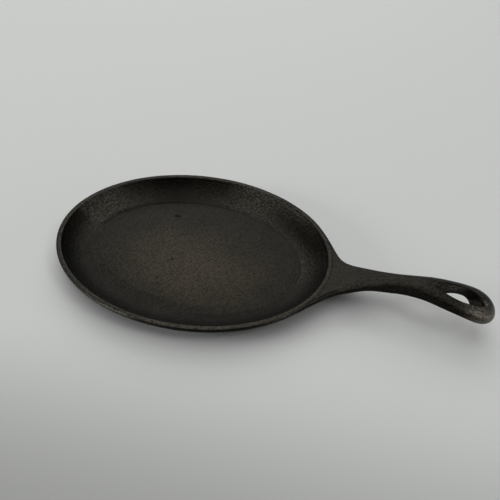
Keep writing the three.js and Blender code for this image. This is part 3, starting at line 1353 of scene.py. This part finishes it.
        # A painted highlight on the ramp towards the hole's point and its upper edge.
        light = smoothstep(climb, *self.HOLE_LIGHT_CLIMB) * (1.0 - smoothstep(share, *self.HOLE_LIGHT_END))
        return {
            Mark.GRAIN: np.full((1, 1), self.GRAIN),
            Mark.WEAR_AND_HIGHLIGHT: light,
            Mark.SOOT_AND_SHADE: self.HOLE_PAINTED_SHADE * (1.0 - light),
        }

    def build(self, casting: Casting) -> None:
        """Add the handle's three regions to the casting.

        Args:
            casting: The casting.
        """
        size = self.size
        # Painted shade on the handle's underside.
        darkening = self.UNDER_PAINTED_SHADE * smoothstep(-np.sin(self.angles), *self.UNDER_BAND)
        coarse = {Mark.GRAIN: np.full((1, 1), self.GRAIN), Mark.SOOT_AND_SHADE: darkening[None, :]}
        casting.add_pair(
            Region.ROOT,
            Patch(self.root(), True, coarse),
            Patch(self.seat, False, flip=True),
            Patch(self.cut(size.root_end), False, flip=True),
        )
        casting.add_pair(
            Region.SHANK,
            Patch(self.cut(size.root_end), False),
            Patch(self.stretch(size.root_end, size.eye_start, self.SHANK_ROWS), True, coarse),
            Patch(self.cut(size.eye_start), False, flip=True),
        )
        skin, wall = self.bar()
        casting.add_pair(
            Region.EYE,
            Patch(self.cut(size.eye_start), False),
            Patch(self.stretch(size.eye_start, size.hole_top.point, self.LEAD_ROWS), True, coarse),
            Patch(wall, True, self.hole_light_and_shade(len(wall))),
        )
        # The nose: abrasion with a painted highlight, brighter on the near side, where the underside's
        # painted shade is lifted.
        nose = smoothstep(skin[..., 0], *self.NOSE_BAND)
        rubbed_and_lit = nose * smoothstep(np.sin(self.angles), *self.NOSE_AROUND)
        shade = darkening * (1.0 - self.NOSE_SHADE_LIFT * nose)
        for side in (1.0, -1.0):
            away = smoothstep(side * skin[..., 1], *self.NOSE_ACROSS)
            worn_and_lit = rubbed_and_lit * lerp(self.NOSE_WEAR_AND_HIGHLIGHT, self.NOSE_WEAR_AND_HIGHLIGHT_FAR, away)
            bar = Patch(skin, True, {**coarse, Mark.SOOT_AND_SHADE: shade, Mark.WEAR_AND_HIGHLIGHT: worn_and_lit})
            casting.add(Region.EYE, bar if side > 0 else bar.mirrored())
        LOG.info("handle: tip at %.1f mm", size.tip / MM)


@dataclass(frozen=True)
class Ramp:
    """A range of values and the range that it is spread to.

    Attributes:
        low: Where the range starts.
        high: Where it ends.
        to_low: What its start becomes.
        to_high: What its end becomes.
    """

    low: float
    high: float
    to_low: float = 0.0
    to_high: float = 1.0


class Nodes:
    """A short hand for the node tree of a material or the world."""

    NOISE_ROUGHNESS = 0.6

    def __init__(self, owner: bpy.types.Material | bpy.types.World) -> None:
        """Empty a node tree.

        Args:
            owner: The material or the world.
        """
        owner.use_nodes = True
        self.tree = owner.node_tree
        self.tree.nodes.clear()

    def make(self, kind: str, values: dict[str, object] | None = None, **options: object) -> bpy.types.Node:
        """Make a node.

        Args:
            kind: The node's type.
            values: Values of its inputs, or sockets that they are linked from.
            options: Its own settings.

        Returns:
            The node.
        """
        node = self.tree.nodes.new(kind)
        for name, option in options.items():
            setattr(node, name, option)
        for name, value in (values or {}).items():
            socket = node.inputs[int(name)] if name.isdigit() else node.inputs[name]
            if isinstance(value, bpy.types.NodeSocket):
                self.tree.links.new(value, socket)
            else:
                socket.default_value = value
        return node

    def where(self) -> bpy.types.NodeSocket:
        """The object's own coordinates."""
        return self.make("ShaderNodeTexCoord").outputs["Object"]

    def mark(self, mark: Mark) -> bpy.types.NodeSocket:
        """The value of one of the surface's marks."""
        return self.make("ShaderNodeAttribute", attribute_name=mark.value).outputs["Fac"]

    def math(self, operation: str, first: object, second: object = 0.0) -> bpy.types.NodeSocket:
        """A Math node's result."""
        return self.make("ShaderNodeMath", {"0": first, "1": second}, operation=operation).outputs[0]

    def mix(self, share: object, first: object, second: object, blend: str = "MIX") -> bpy.types.NodeSocket:
        """A colour mix's result.

        Args:
            share: The mix's share.
            first: The first colour.
            second: The second colour.
            blend: How they are mixed.

        Returns:
            The mixed colour.
        """
        values = {"0": share, "6": first, "7": second}
        return self.make("ShaderNodeMix", values, data_type="RGBA", blend_type=blend).outputs[2]

    def toned(self, colour: object, tone: bpy.types.NodeSocket) -> bpy.types.NodeSocket:
        """A colour multiplied by a tone."""
        grey = self.make("ShaderNodeCombineColor", {"0": tone, "1": tone, "2": tone})
        return self.mix(1.0, colour, grey.outputs[0], "MULTIPLY")

    def spread(self, value: object, ramp: Ramp, shape: str = "LINEAR") -> bpy.types.NodeSocket:
        """Spread a value from one range to another, held at its ends.

        Args:
            value: The value.
            ramp: Both ranges.
            shape: How it runs between the ends.

        Returns:
            The spread value.
        """
        places = {"0": value, "1": ramp.low, "2": ramp.high, "3": ramp.to_low, "4": ramp.to_high}
        return self.make("ShaderNodeMapRange", places, clamp=True, interpolation_type=shape).outputs[0]

    def noise(self, where: object, scale: float, detail: float) -> bpy.types.NodeSocket:
        """A noise texture's value.

        Args:
            where: The coordinates.
            scale: Its scale, in cells a metre.
            detail: Its octaves.

        Returns:
            The value, around 0.5.
        """
        values = {"Vector": where, "Scale": scale, "Detail": detail}
        values["Roughness"] = self.NOISE_ROUGHNESS
        return self.make("ShaderNodeTexNoise", values).outputs["Fac"]

    def close(self, values: dict[str, object]) -> None:
        """Make the surface's shader and link it to the material's output."""
        shader = self.make("ShaderNodeBsdfPrincipled", values)
        self.make("ShaderNodeOutputMaterial", {"Surface": shader.outputs[0]})


@dataclass(frozen=True)
class SeasonedIron:
    """Sand-cast iron under a dark, baked-on oil seasoning, with painted highlights and painted shade among
    its marks.

    Attributes:
        brown: The seasoning where it is thick.
        grey: The seasoning where it is thin.
        worn_and_lit: The iron that shows on abraded edges, also the colour of painted highlights and
            glints.
        soot_and_shading: What gathers in creases and pits, also the colour of painted shade and painted
            dark reflections.
        metallic: How much of the iron itself answers the light.
        ior: The seasoning's index of refraction.
        sheen: The colour of its shine at a low angle.
        cloud: Scale and octaves of the broad clouds.
        blotch: The same for the blotches.
        fleck: The same for the flecks.
        sand: The same for the sand's fine print.
        pebble: The scale of the sand's coarse print.
        pebble_softness: How soft the coarse print is.
        thickness: What the clouds add to the thickness of the seasoning.
        fleck_tone: What the flecks do to the tone.
        blotch_tone: What the blotches do to the tone.
        dullness: The roughness that the blotches give.
        polish: How much less rough abraded and highlighted iron is.
        bare_and_glint_break: How the flecks break the abraded iron and the painted highlights into glints.
        worn_and_lit_through: How much of the abrasion and painted highlight shows between the flecks.
        soot_and_shade_break: How the clouds break the grime and painted shade.
        sand_print: The share of the fine print in the grain.
        pebble_print: The share of the coarse print.
        fleck_print: The share of the flecks.
        grain_depth: The depth of the grain.
        grain_strength: How strongly the grain answers the light.
    """

    brown: Colour = (0.0284, 0.0244, 0.0180, 1.0)
    grey: Colour = (0.0184, 0.0170, 0.0136, 1.0)
    worn_and_lit: Colour = (0.1400, 0.1270, 0.1060, 1.0)
    soot_and_shading: Colour = (0.0025, 0.0022, 0.0018, 1.0)
    metallic: float = 0.95
    ior: float = 1.45
    sheen: Colour = (0.86, 0.86, 0.86, 1.0)
    cloud: Pair = (24.0, 5.0)
    blotch: Pair = (150.0, 3.0)
    fleck: Pair = (620.0, 2.0)
    sand: Pair = (950.0, 2.0)
    pebble: float = 480.0
    pebble_softness: float = 0.5
    thickness: Ramp = Ramp(0.38, 0.62, -0.15, 0.25)
    fleck_tone: Ramp = Ramp(0.34, 0.68, 0.58, 1.5)
    blotch_tone: Ramp = Ramp(0.3, 0.7, 0.86, 1.14)
    dullness: Ramp = Ramp(0.3, 0.7, 0.28, 0.40)
    polish: float = 0.07
    bare_and_glint_break: Ramp = Ramp(0.38, 0.62, 0.15, 1.0)
    worn_and_lit_through: float = 0.65
    soot_and_shade_break: Ramp = Ramp(0.3, 0.6, 1.0, 0.72)
    sand_print: float = 0.7
    pebble_print: float = 0.8
    fleck_print: float = 0.8
    grain_depth: float = 0.32 * MM
    grain_strength: float = 0.9

    def build(self) -> bpy.types.Material:
        """Make the material.

        Returns:
            The material.
        """
        material = bpy.data.materials.new("seasoned_iron")
        nodes = Nodes(material)
        where = nodes.where()
        wear_and_highlight, soot_and_shade, grain, baked = (nodes.mark(mark) for mark in Mark)
        textures = (self.cloud, self.blotch, self.fleck, self.sand)
        cloud, blotch, fleck, sand = (nodes.noise(where, *texture) for texture in textures)
        pebble = nodes.make(
            "ShaderNodeTexVoronoi",
            {"Vector": where, "Scale": self.pebble, "Smoothness": self.pebble_softness},
            feature="SMOOTH_F1",
        ).outputs["Distance"]

        thick = nodes.math("ADD", nodes.spread(cloud, self.thickness), baked)
        colour = nodes.mix(nodes.spread(thick, Ramp(0.0, 1.0)), self.grey, self.brown)
        tone = nodes.spread(fleck, self.fleck_tone)
        tone = nodes.math("MULTIPLY", tone, nodes.spread(blotch, self.blotch_tone))
        colour = nodes.toned(colour, tone)
        # Abrasion and painted highlights and glints lighten the colour.
        through = nodes.math("MULTIPLY", wear_and_highlight, self.worn_and_lit_through)
        bare_and_glint = nodes.math("MAXIMUM", nodes.spread(fleck, self.bare_and_glint_break), through)
        colour = nodes.mix(nodes.math("MULTIPLY", wear_and_highlight, bare_and_glint), colour, self.worn_and_lit)
        # Grime and painted shade darken it.
        soot_and_shade_share = nodes.math("MULTIPLY", soot_and_shade, nodes.spread(cloud, self.soot_and_shade_break))
        colour = nodes.mix(soot_and_shade_share, colour, self.soot_and_shading)

        polished = nodes.math("MULTIPLY", wear_and_highlight, self.polish)
        dull = nodes.math("SUBTRACT", nodes.spread(blotch, self.dullness), polished)
        relief = nodes.math("MULTIPLY", sand, self.sand_print)
        for texture, share in ((pebble, self.pebble_print), (fleck, self.fleck_print)):
            relief = nodes.math("ADD", relief, nodes.math("MULTIPLY", texture, share))
        relief = nodes.math("MULTIPLY", relief, grain)
        cut = {"Strength": self.grain_strength, "Distance": self.grain_depth, "Height": relief}
        nodes.close(
            {
                "Base Color": colour,
                "Roughness": dull,
                "Normal": nodes.make("ShaderNodeBump", cut).outputs["Normal"],
                "Metallic": self.metallic,
                "IOR": self.ior,
                "Specular Tint": self.sheen,
            }
        )
        return material


@dataclass(frozen=True)
class PaleFloor:
    """The plain pale floor that the skillet stands on, darker towards the front.

    Attributes:
        colour: Its colour.
        roughness: Its roughness.
        shine: How much of the light it mirrors.
        front: The level direction that it darkens in.
        shade: Where the painted shade starts and ends to darken it that way from the middle, and its tone
            there.
        half: Half its side.
    """

    colour: Colour = (0.827, 0.843, 0.826, 1.0)
    roughness: float = 0.9
    shine: float = 0.1
    front: Place = (0.12, -0.993, 0.0)
    shade: Ramp = Ramp(90.0 * MM, 250.0 * MM, 1.0, 0.58)
    half: float = 4.0

    def material(self) -> bpy.types.Material:
        """Make the floor's material, its colour toned by painted shade along the way towards the front.

        Returns:
            The material.
        """
        material = bpy.data.materials.new("pale_floor")
        nodes = Nodes(material)
        ahead = {"0": nodes.where(), "1": self.front}
        near = nodes.make("ShaderNodeVectorMath", ahead, operation="DOT_PRODUCT").outputs["Value"]
        colour = nodes.toned(self.colour, nodes.spread(near, self.shade, "SMOOTHSTEP"))
        nodes.close({"Base Color": colour, "Roughness": self.roughness, "Specular IOR Level": self.shine})
        return material

    def build(self) -> bpy.types.Object:
        """Make the floor.

        Returns:
            The floor, marked as the stage.
        """
        mesh = bpy.data.meshes.new("pale_floor")
        side = self.half
        square = [(-side, -side, 0.0), (side, -side, 0.0), (side, side, 0.0), (-side, side, 0.0)]
        mesh.from_pydata(square, [], [(0, 1, 2, 3)])
        mesh.materials.append(self.material())
        floor = bpy.data.objects.new("pale_floor", mesh)
        bpy.context.scene.collection.objects.link(floor)
        floor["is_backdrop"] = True
        return floor


@dataclass(frozen=True)
class Lamp:
    """A soft box.

    Attributes:
        name: Its name.
        place: Where it stands.
        aim: What it points at.
        size: Its width and height.
        power: Its power in watts.
    """

    name: str
    place: Place
    aim: Place
    size: Pair
    power: float

    def build(self) -> bpy.types.Object:
        """Make the lamp.

        Returns:
            The lamp.
        """
        light = bpy.data.lights.new(self.name, "AREA")
        light.shape = "RECTANGLE"
        light.size, light.size_y = self.size
        light.energy = self.power
        lamp = bpy.data.objects.new(self.name, light)
        lamp.location = self.place
        lamp.rotation_mode = "QUATERNION"
        lamp.rotation_quaternion = (Vector(self.aim) - Vector(self.place)).to_track_quat("-Z", "Y")
        bpy.context.scene.collection.objects.link(lamp)
        return lamp


@dataclass(frozen=True)
class Studio:
    """The lamps and the even light around the skillet.

    Attributes:
        lamps: The soft boxes.
        world: The even light's colour.
        strength: The even light's strength.
        backdrop: Its strength as the camera and shiny surfaces see it.
    """

    lamps: tuple[Lamp, ...] = (
        Lamp("top_lamp", (-0.15, 0.55, 2.4), (0.0, 0.55, 0.0), (3.6, 2.8), 32.0),
        Lamp("far_lamp", (-0.58, 1.8, 1.48), (0.0, 0.0, 0.0), (2.6, 1.3), 11.7),
        Lamp("low_lamp", (-1.11, 2.08, 0.46), (0.0, 0.0, 0.0), (1.6, 0.6), 2.2),
        Lamp("right_lamp", (2.34, 0.2, 0.5), (0.1, 0.0, 0.0), (0.7, 0.7), 3.4),
        Lamp("near_lamp", (1.64, -0.29, 1.73), (0.05, 0.0, 0.0), (0.6, 0.6), 4.8),
        Lamp("left_lamp", (-2.0, -1.05, 0.7), (0.0, 0.0, 0.0), (0.7, 0.7), 15.0),
    )
    world: Colour = (1.0, 1.0, 0.985, 1.0)
    strength: float = 0.06
    backdrop: float = 0.2

    def build(self) -> None:
        """Make the lamps and the world's light."""
        for lamp in self.lamps:
            lamp.build()
        world = bpy.data.worlds.new("studio")
        nodes = Nodes(world)
        rays = nodes.make("ShaderNodeLightPath").outputs
        seen = nodes.math("MAXIMUM", rays["Is Camera Ray"], rays["Is Glossy Ray"])
        seen = nodes.math("MAXIMUM", seen, rays["Is Transmission Ray"])
        strength = nodes.spread(seen, Ramp(0.0, 1.0, self.strength, self.backdrop))
        light = nodes.make("ShaderNodeBackground", {"Color": self.world, "Strength": strength})
        nodes.make("ShaderNodeOutputWorld", {"Surface": light.outputs[0]})
        bpy.context.scene.world = world


@dataclass(frozen=True)
class Camera:
    """The photograph's camera.

    Attributes:
        target: What it looks at.
        azimuth: Its bearing in degrees, 0 looking along +Y.
        elevation: Its height above the horizon in degrees.
        distance: How far it stands from the target.
        lens: The focal length in millimetres.
        sensor: The sensor's width in millimetres.
        clip: The nearest and the farthest distance that it shows.
    """

    target: Place = (0.0531, 0.0049, 0.0206)
    azimuth: float = 19.61
    elevation: float = 43.76
    distance: float = 0.440
    lens: float = 36.18
    sensor: float = 36.0
    clip: Pair = (0.01, 20.0)

    def build(self) -> bpy.types.Object:
        """Make the camera and set it as the scene's.

        Returns:
            The camera.
        """
        bearing, height = math.radians(self.azimuth), math.radians(self.elevation)
        level = math.cos(height)
        back = Vector((math.sin(bearing) * level, -math.cos(bearing) * level, math.sin(height)))
        right = Vector((math.cos(bearing), math.sin(bearing), 0.0))
        turn = Matrix((right, back.cross(right), back)).transposed().to_4x4()
        data = bpy.data.cameras.new("photo_camera")
        data.sensor_width = self.sensor
        data.lens = self.lens
        data.clip_start, data.clip_end = self.clip
        camera = bpy.data.objects.new("photo_camera", data)
        camera.matrix_world = Matrix.Translation(Vector(self.target) + back * self.distance) @ turn
        bpy.context.scene.collection.objects.link(camera)
        bpy.context.scene.camera = camera
        return camera


def corners() -> list[list[float]]:
    """The shown object's lowest and highest corner as plain lists."""
    return [list(corner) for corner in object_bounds()]


def main() -> None:
    """Build the skillet and its studio."""
    logging.basicConfig(level=logging.INFO, format="%(name)s: %(message)s")
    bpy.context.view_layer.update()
    bpy.context.scene.view_settings.view_transform = "Standard"
    Camera().build()
    Studio().build()
    PaleFloor().build()

    dish = Dish(DishSize.from_frame())
    handle = Handle(HandleSize.from_frame(dish.size), dish)
    casting = Casting()
    dish.build(casting)
    handle.build(casting)
    casting.weld()
    casting.carve(Relief(), dish.size.floor_thickness)
    iron = SeasonedIron().build()
    for region in Region:
        piece = casting.piece(region, iron)
        LOG.info("%s: %d triangles", piece.name, len(piece.data.polygons))


if __name__ == "__main__":
    main()
